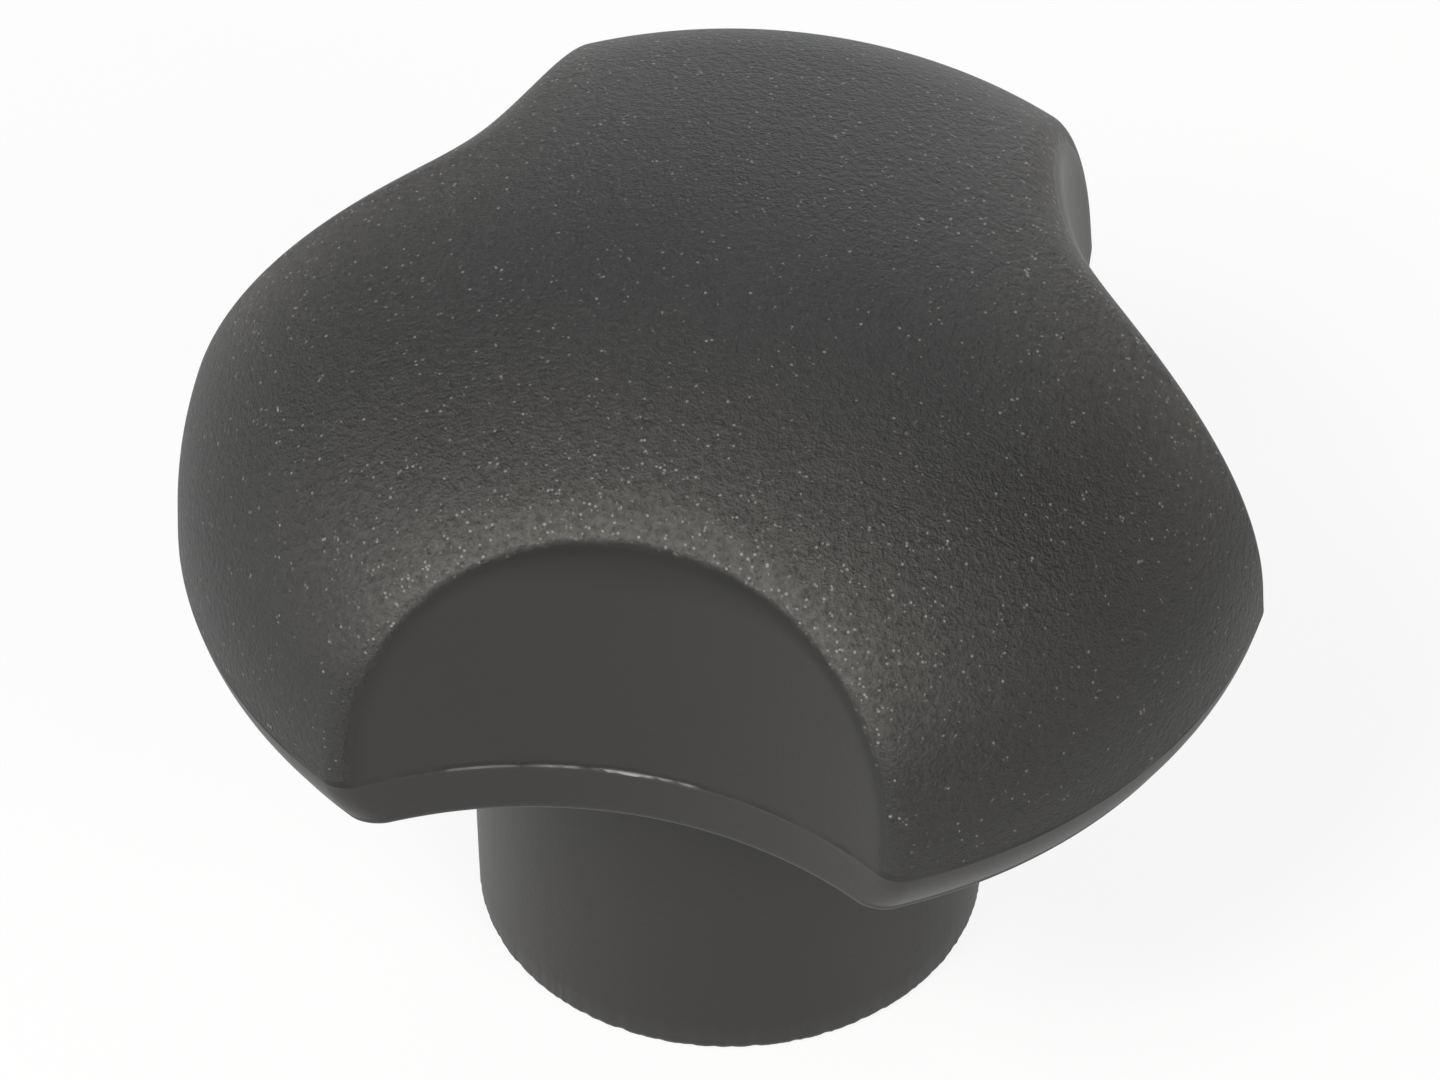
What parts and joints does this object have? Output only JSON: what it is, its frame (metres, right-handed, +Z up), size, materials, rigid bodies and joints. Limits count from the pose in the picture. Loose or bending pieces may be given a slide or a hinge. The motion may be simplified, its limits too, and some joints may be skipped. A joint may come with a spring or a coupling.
{
  "type": "three-lobed star knob",
  "caption": "Moulded star knob with a domed, scalloped cap on a plain round hub, and a blind threaded insert in the hub's foot.",
  "frame": {"origin": "centre of the hub's foot", "axes": "+Z up the knob's axis towards its crown; one scallop between two lobes faces -Y, and the lobe opposite it lies along +Y"},
  "size_m": [0.032, 0.0297, 0.0256],
  "materials": {
    "moulded_plastic": "dark grey, fine spark-eroded grain",
    "insert_metal": "turned and knurled"
  },
  "bodies": {
    "root": {"knob_body": "moulded_plastic", "threaded_insert": "insert_metal"}
  },
  "joints": []
}
